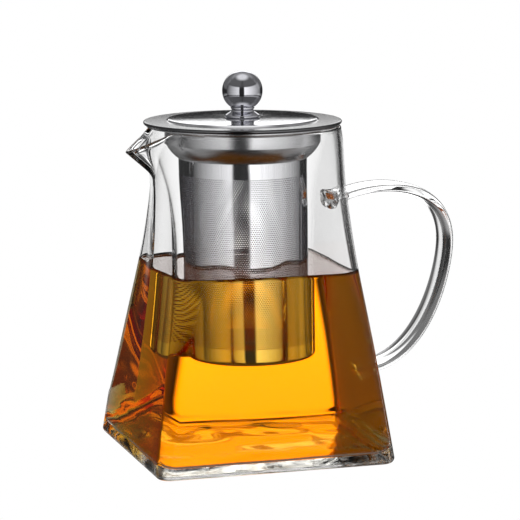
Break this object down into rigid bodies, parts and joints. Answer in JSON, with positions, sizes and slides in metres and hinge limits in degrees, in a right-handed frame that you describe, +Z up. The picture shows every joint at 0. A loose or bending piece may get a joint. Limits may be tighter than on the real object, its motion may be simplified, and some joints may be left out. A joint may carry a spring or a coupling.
{
  "type": "glass teapot with steel infuser",
  "caption": "Square-footed clear glass teapot with a pulled spout and fused strap handle, a lift-out perforated steel infuser and a steel lid with a ball knob.",
  "frame": {"origin": "middle of the square foot, on the table", "axes": "+Z up, spout towards -X, handle towards +X, sides of the foot along X and Y"},
  "size_m": [0.1554, 0.1104, 0.1736],
  "materials": {
    "clear_glass": "clear fire-polished borosilicate glass",
    "polished_steel": "mirror polished stainless steel",
    "satin_steel": "bright satin stainless steel sheet",
    "screw_steel": "plain stainless fastener",
    "tea": "clear amber liquid"
  },
  "bodies": {
    "pot": {"glass_body": "clear_glass", "glass_handle": "clear_glass"},
    "infuser": {"infuser_collar": "satin_steel", "basket_wall": "satin_steel", "basket_bottom": "satin_steel"},
    "lid": {"lid_plate": "polished_steel", "lid_skirt": "satin_steel", "knob_neck": "polished_steel", "knob_ball": "polished_steel", "knob_screw": "screw_steel", "knob_washer": "screw_steel"}
  },
  "joints": [
    {"name": "infuser_lift", "type": "slide", "parent": "pot", "child": "infuser", "axis": [0, 0, 1], "range_m": [0, 0.11]},
    {"name": "lid_lift", "type": "slide", "parent": "infuser", "child": "lid", "axis": [0, 0, 1], "range_m": [0, 0.05]}
  ]
}
